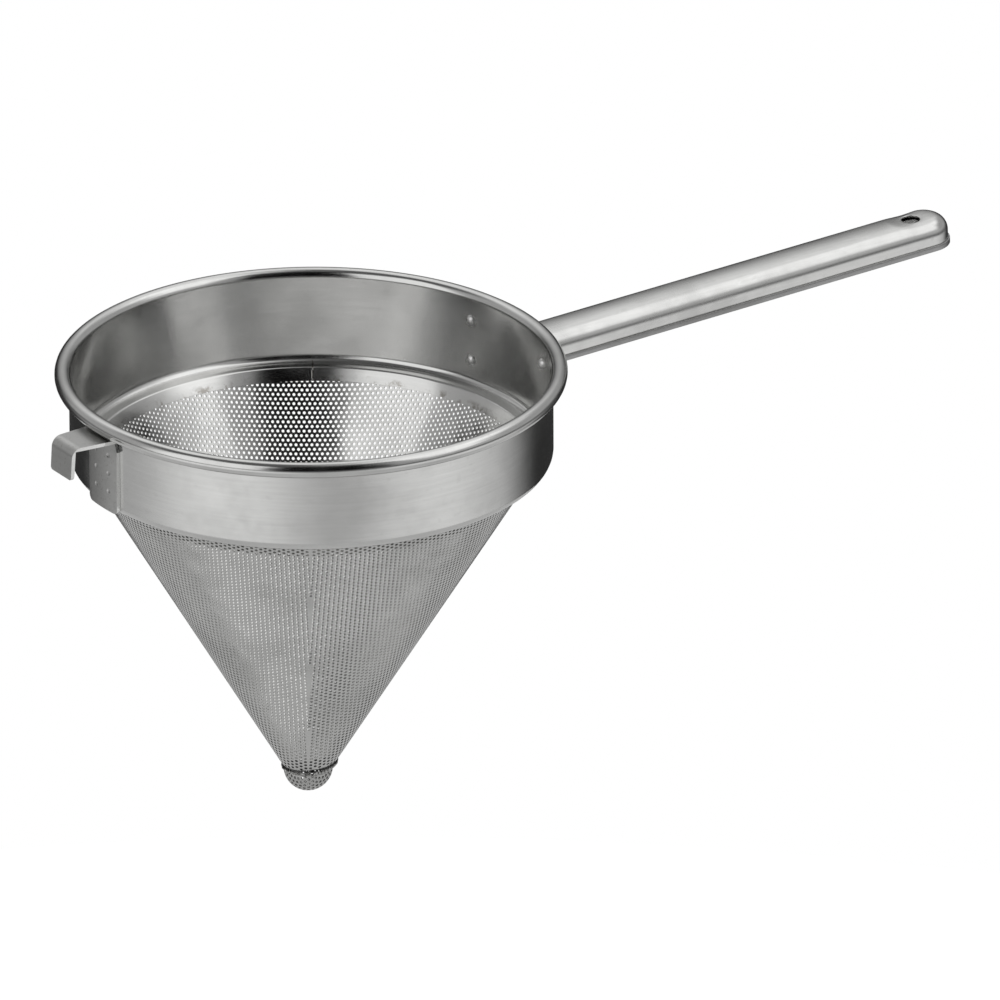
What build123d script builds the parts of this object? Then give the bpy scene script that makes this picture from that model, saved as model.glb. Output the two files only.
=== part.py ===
from build123d import *
import math
import os

# Chinois strainer: a rolled rim band that carries a perforated cone, a hollow handle on a
# riveted saddle bracket and a pan hook opposite the handle.
# Millimetres. The origin is the centre of the rim's bead circle, +Z is up along the ring's
# axis and +X points along the handle.

# Rim band: one ring of sheet with a curl at the top and a shoulder and lip at the bottom
band_inner_radius = 110.0
band_sheet = 0.8
band_depth = 42.0
bead_radius = 3.7
curl_end_angle = -135.0
corner_bend = 4.4
lip_bend = 1.3
lip_inner_bend = 0.4
lip_length = 6.6

# Wire hoop inside the curl
wire_gap = 0.05

# Strainer cone, whose outer face meets the shoulder's underside a shoulder's width in
shoulder_width = 7.1
cone_half_angle = 30.85
cone_sheet = 0.8
cone_end_radius = 12.9
weld_gap = 0.05

# Tip cap: a thimble that shows below the cone's cut end
cap_step = 3.4
cap_drop = 4.8
cap_sheet = 0.8
cap_skirt = 8.0

# Hollow handle: a domed upper shell that stands in a shallow lower tray
handle_tilt = 2.2
handle_root_depth = 21.23
handle_length = 224.0
shell_half_width = 11.8
shell_height = 14.3
shell_crown_radius = 32.0
shell_shoulder_radius = 7.5
shell_sheet = 0.8
tray_height = 2.6
nest_gap = 0.05
hang_hole_radius = 4.3
hang_hole_setback = 6.4
hang_hole_round = 0.5

# Saddle bracket between the band and the handle
saddle_sheet = 1.5
saddle_top = 5.2
saddle_foot = 7.0
saddle_half_angle = 20.5
saddle_corner = 4.0
tongue_side_gap = 2.1
tongue_floor = 2.0
tongue_roof_gap = 4.8
tongue_reach = 22.0
tongue_edge = 1.0

# Bracket rivets, domed inside the band and clenched outside the saddle
rivet_side_angle = 4.5
rivet_top_edge = 4.7
rivet_bottom_edge = 5.3
rivet_shank_radius = 1.6
rivet_head_radius = 2.75
rivet_head_height = 1.7
rivet_tail_radius = 2.5
rivet_tail_height = 1.2
rivet_tail_edge = 0.5
rivet_gap = 0.02

# Weld bead round the handle's root
weld_leg = 1.4

# Pan hook: a curved plate on the band, a level arm under the bead and a turned-down nose
hook_sheet = 1.7
hook_plate_width = 24.0
hook_plate_foot = 1.0
hook_plate_corner = 3.0
hook_arm_depth = 4.3
hook_arm_width = 21.0
hook_arm_length = 16.1
hook_nose_bottom = 20.0
hook_nose_width = 17.5
hook_nose_lean = 1.0
hook_nose_corner = 2.5
hook_nose_bend = 5.0
hook_root_bend = 4.0
hook_edge_round = 0.5
hook_shoulder = 4.0
spot_rows = 3
spot_columns = 2
spot_row_pitch = 8.8
spot_column_pitch = 10.5
spot_first_depth = 13.5
spot_ball_radius = 2.4
spot_dent = 0.35

# One overrun serves every cut that must pass right through
overrun = 5.0

os.makedirs("parts", exist_ok=True)


# Sizes that follow from the driving ones
band_outer_radius = band_inner_radius + band_sheet
bead_circle_radius = band_inner_radius + bead_radius
cone_mouth_radius = band_outer_radius - shoulder_width
shoulder_z = -band_depth
ledge_z = shoulder_z + band_sheet
cone_slope = math.tan(math.radians(cone_half_angle))
cone_cosine = math.cos(math.radians(cone_half_angle))
apex_z = shoulder_z - cone_mouth_radius / cone_slope
cone_end_z = apex_z + cone_end_radius / cone_slope
cap_radius = cone_end_radius - cap_step
cap_centre_z = cone_end_z - cap_drop
saddle_inner_radius = band_outer_radius + weld_gap
saddle_outer_radius = saddle_inner_radius + saddle_sheet
saddle_height = band_depth - saddle_top - saddle_foot
rivet_half_angle = saddle_half_angle - rivet_side_angle
rivet_depths = [saddle_top + saddle_height - rivet_bottom_edge, saddle_top + rivet_top_edge]
tray_half_width = shell_half_width + nest_gap + shell_sheet
tongue_half_width = shell_half_width - shell_sheet - tongue_side_gap
tongue_height = shell_height - tongue_floor - tongue_roof_gap
shell_base = shell_sheet + nest_gap
shoulder_in = shell_half_width - shell_shoulder_radius
shoulder_turn = math.acos(shoulder_in / (shell_crown_radius - shell_shoulder_radius))
shoulder_fall = (shell_crown_radius - shell_shoulder_radius) * (1 - math.sin(shoulder_turn))
shoulder_centre = (shoulder_in, shell_height - shell_shoulder_radius - shoulder_fall)
handle_reach = band_outer_radius + handle_length
handle_rise = band_outer_radius * math.tan(math.radians(handle_tilt))
handle_plane = Plane(
    origin=(0, 0, -handle_root_depth - handle_rise),
    x_dir=Vector(1, 0, 0).rotate(Axis.Y, -handle_tilt),
    z_dir=Vector(0, 0, 1).rotate(Axis.Y, -handle_tilt),
)
handle_root_plane = Plane(
    origin=handle_plane.origin,
    x_dir=Vector(0, 1, 0),
    z_dir=handle_plane.x_dir,
)
hang_hole_x = handle_reach - hang_hole_setback
hook_plate_bottom = band_depth - hook_plate_foot
hook_plate_inner_radius = band_outer_radius + weld_gap
hook_plate_outer_radius = hook_plate_inner_radius + hook_sheet
hook_arm_top = -hook_arm_depth
hook_arm_under = hook_arm_top - hook_sheet
hook_arm_root = bead_circle_radius + bead_radius
hook_reach = hook_arm_root + hook_arm_length


def cone_radius(z, depth=0.0):
    """Radius of the cone at height z, on a surface that lies a depth inside its outer face."""
    return (z - apex_z) * cone_slope - depth / cone_cosine


def on_arc(centre, radius, turn):
    """A point of an arc, by its centre, radius and angle in radians."""
    return (centre[0] + radius * math.cos(turn), centre[1] + radius * math.sin(turn))


def on_bead(radius, angle):
    """A point of the bead's section, by its distance and angle from the bead's centre."""
    turn = math.radians(angle)
    return (bead_circle_radius + radius * math.cos(turn), radius * math.sin(turn))


def handle_section(inset, base):
    """Half the handle's section, from the middle plane outwards, as a face: side, shoulder, crown."""
    half = shell_half_width - inset
    top = shell_height - inset
    crown_centre = (0, shell_height - shell_crown_radius)
    with BuildSketch() as section:
        with BuildLine():
            Line((0, base), (half, base))
            Line((half, base), (half, shoulder_centre[1]))
            ThreePointArc(
                (half, shoulder_centre[1]),
                on_arc(shoulder_centre, shell_shoulder_radius - inset, shoulder_turn / 2),
                on_arc(shoulder_centre, shell_shoulder_radius - inset, shoulder_turn),
            )
            ThreePointArc(
                on_arc(crown_centre, shell_crown_radius - inset, shoulder_turn),
                on_arc(crown_centre, shell_crown_radius - inset, (shoulder_turn + math.pi / 2) / 2),
                (0, top),
            )
            Line((0, top), (0, base))
        make_face()
    return section.sketch


def handle_volume(inset, base, mode=Mode.ADD):
    """The arched bar with its half-round end, inside the handle's outer face by an inset."""
    with BuildSketch(handle_root_plane) as bar:
        add(handle_section(inset, base))
        mirror(about=Plane.YZ)
    extrude(bar.sketch, amount=handle_reach, mode=mode)
    end_plane = Plane(
        origin=handle_plane.from_local_coords((handle_reach, 0, 0)),
        x_dir=handle_plane.y_dir,
        z_dir=handle_plane.x_dir,
    )
    with BuildSketch(end_plane) as half_end:
        add(handle_section(inset, base))
    end_axis = Axis(end_plane.origin, handle_plane.z_dir)
    revolve(half_end.sketch, axis=end_axis, revolution_arc=-180, mode=mode)


def clear_the_saddle():
    """Cuts the handle's root to the saddle's curved face."""
    with BuildSketch(Plane.XY.offset(-band_depth)) as saddle_round:
        Circle(saddle_outer_radius + weld_gap)
    extrude(saddle_round.sketch, amount=band_depth + overrun, mode=Mode.SUBTRACT)


# Rim band
curl_inner_radius = bead_radius - band_sheet
lip_drop = lip_length * cone_cosine
lip_end_z = ledge_z - lip_drop
lip_outer_depth = cone_sheet + weld_gap
lip_inner_depth = lip_outer_depth + band_sheet
lip_under = (cone_radius(shoulder_z, lip_outer_depth), shoulder_z)
lip_top = (cone_radius(ledge_z, lip_inner_depth), ledge_z)
wall_points = [
    (band_inner_radius, 0),
    (band_outer_radius, 0),
    (band_outer_radius, shoulder_z),
    lip_under,
    (cone_radius(lip_end_z, lip_outer_depth), lip_end_z),
    (cone_radius(lip_end_z, lip_inner_depth), lip_end_z),
    lip_top,
    (band_inner_radius, ledge_z),
]
with BuildPart() as rim_band:
    with BuildSketch(Plane.XZ) as band_section:
        with BuildLine():
            Polyline(*wall_points, close=True)
        make_face()
        corners = band_section.vertices()
        fillet(corners.sort_by_distance((band_outer_radius, shoulder_z))[0], corner_bend)
        fillet(corners.sort_by_distance((band_inner_radius, ledge_z))[0], corner_bend - band_sheet)
        fillet(corners.sort_by_distance(lip_top)[0], lip_bend)
        fillet(corners.sort_by_distance(lip_under)[0], lip_inner_bend)
        with BuildLine():
            ThreePointArc(
                on_bead(bead_radius, 180),
                on_bead(bead_radius, (180 + curl_end_angle) / 2),
                on_bead(bead_radius, curl_end_angle),
            )
            Line(on_bead(bead_radius, curl_end_angle), on_bead(curl_inner_radius, curl_end_angle))
            ThreePointArc(
                on_bead(curl_inner_radius, curl_end_angle),
                on_bead(curl_inner_radius, (180 + curl_end_angle) / 2),
                on_bead(curl_inner_radius, 180),
            )
            Line(on_bead(curl_inner_radius, 180), on_bead(bead_radius, 180))
        make_face()
    revolve(axis=Axis.Z)
    rivet_bores = [
        Plane(
            origin=(0, 0, -depth),
            x_dir=(0, 0, 1),
            z_dir=Vector(1, 0, 0).rotate(Axis.Z, side * rivet_half_angle),
        )
        for side in (-1, 1)
        for depth in rivet_depths
    ]
    for bore in rivet_bores:
        with BuildSketch(bore):
            Circle(rivet_shank_radius + rivet_gap)
        extrude(amount=band_outer_radius + overrun, mode=Mode.SUBTRACT)

rim_band.part.label = "rim_band"
export_step(rim_band.part, "parts/rim_band.step")


# Wire hoop that stiffens the curl
with BuildPart() as rim_wire:
    with BuildSketch(Plane.XZ):
        with Locations((bead_circle_radius, 0)):
            Circle(curl_inner_radius - wire_gap)
    revolve(axis=Axis.Z)

rim_wire.part.label = "rim_wire"
export_step(rim_wire.part, "parts/rim_wire.step")


# Strainer cone, rolled from perforated sheet, with its top edge against the shoulder
cone_top_z = shoulder_z - weld_gap
with BuildPart() as strainer_cone:
    with BuildSketch(Plane.XZ):
        with BuildLine():
            Polyline(
                (cone_radius(cone_top_z), cone_top_z),
                (cone_radius(cone_end_z), cone_end_z),
                (cone_radius(cone_end_z, cone_sheet), cone_end_z),
                (cone_radius(cone_top_z, cone_sheet), cone_top_z),
                close=True,
            )
        make_face()
    revolve(axis=Axis.Z)

strainer_cone.part.label = "strainer_cone"
export_step(strainer_cone.part, "parts/strainer_cone.step")


# Tip cap, whose flared skirt is held inside the cone's lower end
skirt_depth = cone_sheet + weld_gap
skirt_top_z = cone_end_z + cap_skirt * cone_cosine
cap_inner_radius = cap_radius - cap_sheet
cap_turn = math.sqrt(0.5)
with BuildPart() as tip_cap:
    with BuildSketch(Plane.XZ):
        with BuildLine():
            ThreePointArc(
                (0, cap_centre_z - cap_radius),
                (cap_radius * cap_turn, cap_centre_z - cap_radius * cap_turn),
                (cap_radius, cap_centre_z),
            )
            Polyline(
                (cap_radius, cap_centre_z),
                (cone_radius(cone_end_z, skirt_depth), cone_end_z),
                (cone_radius(skirt_top_z, skirt_depth), skirt_top_z),
                (cone_radius(skirt_top_z, skirt_depth + cap_sheet), skirt_top_z),
                (cone_radius(cone_end_z, skirt_depth) - cap_sheet, cone_end_z),
                (cap_inner_radius, cap_centre_z),
            )
            ThreePointArc(
                (cap_inner_radius, cap_centre_z),
                (cap_inner_radius * cap_turn, cap_centre_z - cap_inner_radius * cap_turn),
                (0, cap_centre_z - cap_inner_radius),
            )
            Line((0, cap_centre_z - cap_inner_radius), (0, cap_centre_z - cap_radius))
        make_face()
    revolve(axis=Axis.Z)

tip_cap.part.label = "tip_cap"
export_step(tip_cap.part, "parts/tip_cap.step")


# Upper shell of the handle: the arched bar, hollow and open below
hang_hole_plane = Plane(
    origin=handle_plane.from_local_coords((hang_hole_x, 0, 0)),
    x_dir=handle_plane.x_dir,
    z_dir=handle_plane.z_dir,
)
with BuildPart() as handle_upper_shell:
    handle_volume(0.0, shell_base)
    handle_volume(shell_sheet, -overrun, mode=Mode.SUBTRACT)
    clear_the_saddle()
    with BuildSketch(hang_hole_plane):
        Circle(hang_hole_radius)
    extrude(amount=shell_height + overrun, mode=Mode.SUBTRACT)
    hole_edges = handle_upper_shell.edges(Select.LAST)
    fillet(hole_edges.sort_by(Axis.Z)[-1], hang_hole_round)

handle_upper_shell.part.label = "handle_upper_shell"
export_step(handle_upper_shell.part, "parts/handle_upper_shell.step")


# Lower shell of the handle: a tray with a collar that rises to the hang hole
with BuildPart() as handle_lower_shell:
    handle_volume(shell_sheet + nest_gap, shell_sheet / 2)
    with BuildSketch(hang_hole_plane):
        Circle(hang_hole_radius + shell_sheet)
    extrude(amount=shell_height, mode=Mode.INTERSECT)
    with BuildSketch(handle_plane):
        with Locations((handle_reach / 2, 0)):
            Rectangle(handle_reach, 2 * tray_half_width)
        with Locations((handle_reach, 0)):
            Circle(tray_half_width)
    extrude(amount=tray_height)
    with BuildSketch(handle_plane.offset(shell_sheet)):
        with Locations((handle_reach / 2, 0)):
            Rectangle(handle_reach, 2 * (tray_half_width - shell_sheet))
        with Locations((handle_reach, 0)):
            Circle(tray_half_width - shell_sheet)
        with Locations((hang_hole_x, 0)):
            Circle(hang_hole_radius + shell_sheet, mode=Mode.SUBTRACT)
    extrude(amount=tray_height, mode=Mode.SUBTRACT)
    with BuildSketch(hang_hole_plane):
        Circle(hang_hole_radius)
    extrude(amount=shell_height + overrun, both=True, mode=Mode.SUBTRACT)
    clear_the_saddle()

handle_lower_shell.part.label = "handle_lower_shell"
export_step(handle_lower_shell.part, "parts/handle_lower_shell.step")


# Saddle bracket: a curved plate on the band with a tongue inside the hollow handle
saddle_mid_z = -saddle_top - saddle_height / 2
saddle_half_width = saddle_outer_radius * math.sin(math.radians(saddle_half_angle))
tongue_plane = Plane(
    origin=handle_plane.from_local_coords((0, 0, tongue_floor)),
    x_dir=handle_root_plane.x_dir,
    z_dir=handle_root_plane.z_dir,
)
with BuildPart() as handle_bracket:
    with BuildSketch(Plane.YZ.offset(band_inner_radius / 2)):
        with Locations((0, saddle_mid_z)):
            RectangleRounded(2 * saddle_half_width, saddle_height, saddle_corner)
    extrude(amount=band_inner_radius)
    with BuildSketch(Plane.XY.offset(shoulder_z)):
        Circle(saddle_outer_radius)
    extrude(amount=band_depth, mode=Mode.INTERSECT)
    with BuildSketch(tongue_plane):
        with Locations((0, tongue_height / 2)):
            RectangleRounded(2 * tongue_half_width, tongue_height, tongue_edge)
    extrude(amount=saddle_outer_radius + tongue_reach)
    with BuildSketch(Plane.XY.offset(shoulder_z - overrun)):
        Circle(saddle_inner_radius)
    extrude(amount=band_depth + 2 * overrun, mode=Mode.SUBTRACT)
    for bore in rivet_bores:
        with BuildSketch(bore):
            Circle(rivet_shank_radius + rivet_gap)
        extrude(amount=saddle_outer_radius + overrun, mode=Mode.SUBTRACT)

handle_bracket.part.label = "handle_bracket"
export_step(handle_bracket.part, "parts/handle_bracket.step")


# Bracket rivets: each one turned about its own axis, with its head on the band's inner face
grip_start = math.sqrt(band_inner_radius**2 - rivet_head_radius**2) - rivet_gap
grip_end = saddle_outer_radius + rivet_gap
head_ball = (rivet_head_radius**2 + rivet_head_height**2) / (2 * rivet_head_height)
head_turn = math.asin(rivet_head_radius / head_ball) / 2
head_top = grip_start - rivet_head_height
head_side = (head_ball * math.sin(head_turn), -head_top - head_ball * (1 - math.cos(head_turn)))
with BuildPart() as bracket_rivets:
    for bore in rivet_bores:
        rivet_plane = Plane(origin=bore.origin, x_dir=bore.x_dir, z_dir=bore.y_dir)
        with BuildSketch(rivet_plane):
            with BuildLine():
                ThreePointArc((0, -head_top), head_side, (rivet_head_radius, -grip_start))
                Polyline(
                    (rivet_head_radius, -grip_start),
                    (rivet_shank_radius, -grip_start),
                    (rivet_shank_radius, -grip_end),
                    (rivet_tail_radius, -grip_end),
                    (rivet_tail_radius, -grip_end - rivet_tail_height + rivet_tail_edge),
                    (rivet_tail_radius - rivet_tail_edge, -grip_end - rivet_tail_height),
                    (0, -grip_end - rivet_tail_height),
                    (0, -head_top),
                )
            make_face()
        revolve(axis=Axis(bore.origin, bore.z_dir))

bracket_rivets.part.label = "bracket_rivets"
export_step(bracket_rivets.part, "parts/bracket_rivets.step")


# Weld bead that closes the handle's root against the saddle
with BuildPart() as handle_weld:
    with BuildSketch(handle_root_plane):
        add(handle_section(-weld_leg, 0))
        mirror(about=Plane.YZ)
        with Locations((0, tray_height / 2)):
            Rectangle(2 * (tray_half_width + weld_leg), tray_height)
    extrude(amount=saddle_outer_radius + 2 * weld_leg)
    handle_volume(-weld_gap, -overrun, mode=Mode.SUBTRACT)
    with BuildSketch(handle_plane):
        with Locations((handle_reach / 2, 0)):
            Rectangle(handle_reach, 2 * (tray_half_width + weld_gap))
    extrude(amount=tray_height + weld_gap, mode=Mode.SUBTRACT)
    with BuildSketch(Plane.XY.offset(-band_depth)):
        Circle(saddle_outer_radius + weld_gap)
    extrude(amount=band_depth + overrun, mode=Mode.SUBTRACT)

handle_weld.part.label = "handle_weld"
export_step(handle_weld.part, "parts/handle_weld.step")


# Pan hook: the plate and its root bend are cut from a turned ring, with the ring's seam on the
# far side, then the straight arm and nose are added
spot_depths = [spot_first_depth + row * spot_row_pitch for row in range(spot_rows)]
spot_angles = [
    math.degrees((column - (spot_columns - 1) / 2) * spot_column_pitch / hook_plate_outer_radius)
    for column in range(spot_columns)
]
with BuildPart() as pan_hook:
    with BuildSketch(Plane.XZ) as plate_section:
        with BuildLine():
            Polyline(
                (-hook_plate_inner_radius, -hook_plate_bottom - overrun),
                (-hook_plate_outer_radius, -hook_plate_bottom - overrun),
                (-hook_plate_outer_radius, hook_arm_under),
                (-hook_arm_root, hook_arm_under),
                (-hook_arm_root, hook_arm_top),
                (-hook_plate_inner_radius, hook_arm_top),
                close=True,
            )
        make_face()
        bends = plate_section.vertices()
        fillet(bends.sort_by_distance((-hook_plate_inner_radius, hook_arm_top))[0], hook_root_bend)
        inside_bend = hook_root_bend - hook_sheet
        fillet(bends.sort_by_distance((-hook_plate_outer_radius, hook_arm_under))[0], inside_bend)
    turned_section = plate_section.sketch.rotate(Axis.Z, 180)
    plate_ring = revolve(turned_section, axis=Axis.Z, mode=Mode.PRIVATE)
    with BuildSketch(Plane.YZ.offset(-hook_arm_root - overrun)) as plate_front:
        with BuildLine():
            Polyline(
                (-hook_plate_width / 2, -hook_plate_bottom),
                (hook_plate_width / 2, -hook_plate_bottom),
                (hook_plate_width / 2, hook_arm_under - hook_shoulder),
                (hook_arm_width / 2, hook_arm_under),
                (hook_arm_width / 2, hook_arm_top + overrun),
                (-hook_arm_width / 2, hook_arm_top + overrun),
                (-hook_arm_width / 2, hook_arm_under),
                (-hook_plate_width / 2, hook_arm_under - hook_shoulder),
                close=True,
            )
        make_face()
        fillet(plate_front.vertices().group_by(Axis.Y)[0], hook_plate_corner)
    plate_outline = extrude(plate_front.sketch, amount=hook_arm_root, mode=Mode.PRIVATE)
    add(plate_ring & plate_outline)
    with BuildSketch(Plane.XZ) as nose_section:
        with BuildLine():
            Polyline(
                (-hook_arm_root + hook_sheet, hook_arm_top),
                (-hook_reach, hook_arm_top),
                (-hook_reach - hook_nose_lean, -hook_nose_bottom),
                (-hook_reach - hook_nose_lean + hook_sheet, -hook_nose_bottom),
                (-hook_reach + hook_sheet, hook_arm_under),
                (-hook_arm_root + hook_sheet, hook_arm_under),
                close=True,
            )
        make_face()
        bends = nose_section.vertices()
        fillet(bends.sort_by_distance((-hook_reach, hook_arm_top))[0], hook_nose_bend)
        nose_inside = (-hook_reach + hook_sheet, hook_arm_under)
        fillet(bends.sort_by_distance(nose_inside)[0], hook_nose_bend - hook_sheet)
        fillet(nose_section.vertices().group_by(Axis.Y)[0], hook_edge_round)
    nose = extrude(nose_section.sketch, amount=hook_arm_width / 2, both=True, mode=Mode.PRIVATE)
    with BuildSketch(Plane.XY.offset(-hook_nose_bottom)) as nose_plan:
        with BuildLine():
            Polyline(
                (-hook_arm_root + hook_sheet, -hook_arm_width / 2),
                (-hook_reach - hook_nose_lean, -hook_nose_width / 2),
                (-hook_reach - hook_nose_lean, hook_nose_width / 2),
                (-hook_arm_root + hook_sheet, hook_arm_width / 2),
                close=True,
            )
        make_face()
    taper = extrude(nose_plan.sketch, amount=hook_nose_bottom, mode=Mode.PRIVATE)
    with BuildSketch(Plane.YZ.offset(-hook_reach - overrun)) as nose_front:
        with BuildLine():
            Polyline(
                (-hook_nose_width / 2, -hook_nose_bottom),
                (hook_nose_width / 2, -hook_nose_bottom),
                (hook_arm_width / 2, hook_arm_top),
                (-hook_arm_width / 2, hook_arm_top),
                close=True,
            )
        make_face()
        fillet(nose_front.vertices().group_by(Axis.Y)[0], hook_nose_corner)
    front = extrude(nose_front.sketch, amount=hook_reach, mode=Mode.PRIVATE)
    add(nose & taper & front)
    for depth in spot_depths:
        for angle in spot_angles:
            out = Vector(-1, 0, 0).rotate(Axis.Z, angle)
            place = out * (hook_plate_outer_radius + spot_ball_radius - spot_dent)
            with Locations((place.X, place.Y, -depth)):
                Sphere(spot_ball_radius, mode=Mode.SUBTRACT)

pan_hook.part.label = "pan_hook"
export_step(pan_hook.part, "parts/pan_hook.step")
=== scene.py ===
import math

import bpy
import numpy as np
from mathutils import Matrix, Vector


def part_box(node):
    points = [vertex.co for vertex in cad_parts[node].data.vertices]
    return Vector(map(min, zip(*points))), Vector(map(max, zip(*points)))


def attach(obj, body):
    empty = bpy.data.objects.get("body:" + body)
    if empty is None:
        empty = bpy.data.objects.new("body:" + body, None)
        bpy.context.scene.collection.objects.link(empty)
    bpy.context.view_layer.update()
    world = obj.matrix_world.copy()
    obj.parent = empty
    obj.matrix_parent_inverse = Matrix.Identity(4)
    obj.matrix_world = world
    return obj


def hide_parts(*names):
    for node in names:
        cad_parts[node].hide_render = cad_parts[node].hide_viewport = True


# Chinois strainer, tip down, in polished and satin stainless steel. Metres, in the frame of the
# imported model: the origin is the bead circle's centre, +Z is up and +X runs along the handle.
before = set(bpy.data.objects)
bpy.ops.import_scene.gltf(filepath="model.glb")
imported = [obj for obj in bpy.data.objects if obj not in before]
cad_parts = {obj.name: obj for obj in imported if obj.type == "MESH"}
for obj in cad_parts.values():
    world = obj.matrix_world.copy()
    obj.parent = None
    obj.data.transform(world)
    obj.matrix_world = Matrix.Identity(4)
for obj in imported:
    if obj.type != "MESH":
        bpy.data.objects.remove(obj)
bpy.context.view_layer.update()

MM = 0.001
TAU = 2 * math.pi
TINY = 1e-9

# Photograph: the camera stands far off, over the rim's front
CAMERA_AZIMUTH = math.radians(-32.28)
CAMERA_ELEVATION = math.radians(23.44)
CAMERA_ROLL = math.radians(-0.29)
CAMERA_DISTANCE = 11.8
CAMERA_LENS = 929.0
CAMERA_SENSOR = 36.0
ORIGIN_LEFT = 86.4 * MM
ORIGIN_ABOVE = 58.7 * MM
FRONT = CAMERA_AZIMUTH - math.pi / 2
REAR = CAMERA_AZIMUTH + math.pi / 2
ACROSS = Vector((math.cos(CAMERA_AZIMUTH), math.sin(CAMERA_AZIMUTH), 0))

SHEET = 0.8 * MM
MERGE = 0.004 * MM
CELL_MERGE = 0.02 * MM

# Copies of the solids: faces this near to flat are joined, and edges sharper than this are broken
FLAT_ANGLE = math.radians(0.05)
EDGE_ANGLE = math.radians(40)
EDGE_STEPS = 2

# Rim band: curl, wall, corner, ledge and lip, as one ring of sheet
BAND_INNER_RADIUS = 110.0 * MM
BAND_DEPTH = 42.0 * MM
BEAD_RADIUS = 3.7 * MM
CURL_END = math.radians(-135)
CURL_STEPS = 22
CORNER_BEND = 3.6 * MM
LIP_BEND = 1.3 * MM
LIP_DEPTH = 1.65 * MM
BEND_STEPS = 6
RING_STEPS = 240

# Perforated sheet
HOLE_PITCH = 2.456 * MM
HOLE_ROW = HOLE_PITCH * math.sqrt(3) / 2
HOLE_RADIUS = 0.77 * MM
HOLE_SIDES = 8
CELL_SIDES = 6

# Strainer cone, whose top and lower end are those of its node. The real one leans a little.
CONE_HALF_ANGLE = math.radians(30.85)
CONE_MARGIN = 1.6 * MM
CONE_END_MARGIN = 1.0 * MM
SEAM_MARGIN = 0.1 * MM
CONE_SECTORS = 5
CONE_LEAN = 0.018
CONE_END_SLANT = 1.36 * MM

# Tip cap: a ball, a side up to the shoulder, and a neck that goes up inside the cone
CAP_RADIUS = 10.6 * MM
CAP_LIFT = 0.5 * MM
CAP_HOLE_RADIUS = 0.75 * MM
CAP_SHOULDER_INSET = 0.35 * MM
CAP_SHOULDER_DROP = 1.5 * MM
CAP_NECK_INSET = 1.05 * MM

# Handle: an arched upper shell with a pressed hang hole, in a shallow tray
HANDLE_TILT = math.radians(2.2)
HANDLE_AXIS_Z = -25.487 * MM
HANDLE_ROOT = 112.4 * MM
HANDLE_END = 334.8 * MM
SHELL_HALF_WIDTH = 11.8 * MM
SHELL_HEIGHT = 14.3 * MM
SHELL_CROWN_RADIUS = 32.0 * MM
SHELL_SHOULDER_RADIUS = 7.5 * MM
HOLE_X = 328.4 * MM
HANG_HOLE_RADIUS = 4.3 * MM
HANG_HOLE_ROLL = 0.45 * MM
HANG_HOLE_COLLAR = 0.5 * MM
DISH_DEPTH = 0.7 * MM
DISH_REACH = 9.0 * MM
DISH_CELL = 0.75 * MM
DISH_START = 316.0 * MM
CROWN_POINTS = 9
SHOULDER_POINTS = 13
SIDE_POINTS = 5
SHELL_STEPS = 12
END_STEPS = 30
ROLL_STEPS = 4
ROLL_FLATNESS = 1.4
RIM_SEARCH = 2.5 * DISH_CELL
RIM_LEVELLED = 0.6
CROWN_SHARE = 0.6

# Pan hook: how squarely a face of its strip must look sideways to be a sheared edge
EDGE_FACING = 0.8

cone_low, cone_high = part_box("strainer_cone")
cone_top_radius = cone_high.x
cone_end_z = cone_low.z
apex_z = cone_high.z - cone_top_radius / math.tan(CONE_HALF_ANGLE)
cone_end_radius = (cone_end_z - apex_z) * math.tan(CONE_HALF_ANGLE)
cap_low, cap_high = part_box("tip_cap")
band_low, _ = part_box("rim_band")


# Bench work


def only(piece):
    """Selects one piece and nothing else, and makes it the active one."""
    bpy.ops.object.select_all(action="DESELECT")
    piece.select_set(True)
    bpy.context.view_layer.objects.active = piece


def edit(piece, chosen=None):
    """Opens a piece in edit mode, with the points chosen by their place selected, or all."""
    only(piece)
    bpy.ops.object.mode_set(mode="EDIT")
    bpy.ops.mesh.select_mode(type="VERT")
    if chosen is None:
        bpy.ops.mesh.select_all(action="SELECT")
        return
    bpy.ops.mesh.select_all(action="DESELECT")
    bpy.ops.object.mode_set(mode="OBJECT")
    for vertex in piece.data.vertices:
        vertex.select = chosen(vertex.co)
    bpy.ops.object.mode_set(mode="EDIT")


def done():
    """Leaves edit mode."""
    bpy.ops.object.mode_set(mode="OBJECT")


def apply_all(piece):
    """Applies every modifier of a piece, in order."""
    only(piece)
    for modifier in list(piece.modifiers):
        bpy.ops.object.modifier_apply(modifier=modifier.name)


def smooth(piece, degrees=30.0):
    """Shades a piece smooth, but for edges sharper than an angle."""
    only(piece)
    bpy.ops.object.shade_smooth_by_angle(angle=math.radians(degrees))


def extrude_by(way):
    """Extrudes what is selected and moves the new part."""
    bpy.ops.mesh.extrude_region_move(TRANSFORM_OT_translate={"value": way})


def draw_line(name, points):
    """A new piece that is one line through points, drawn out from its first point."""
    bpy.ops.object.select_all(action="DESELECT")
    bpy.ops.mesh.primitive_plane_add(size=MM)
    line = bpy.context.object
    line.name = name
    bpy.ops.object.mode_set(mode="EDIT")
    bpy.ops.mesh.select_all(action="SELECT")
    bpy.ops.mesh.merge(type="CENTER")
    bpy.ops.transform.translate(value=points[0])
    for before, after in zip(points, points[1:]):
        extrude_by(Vector(after) - Vector(before))
    done()
    return line


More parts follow.
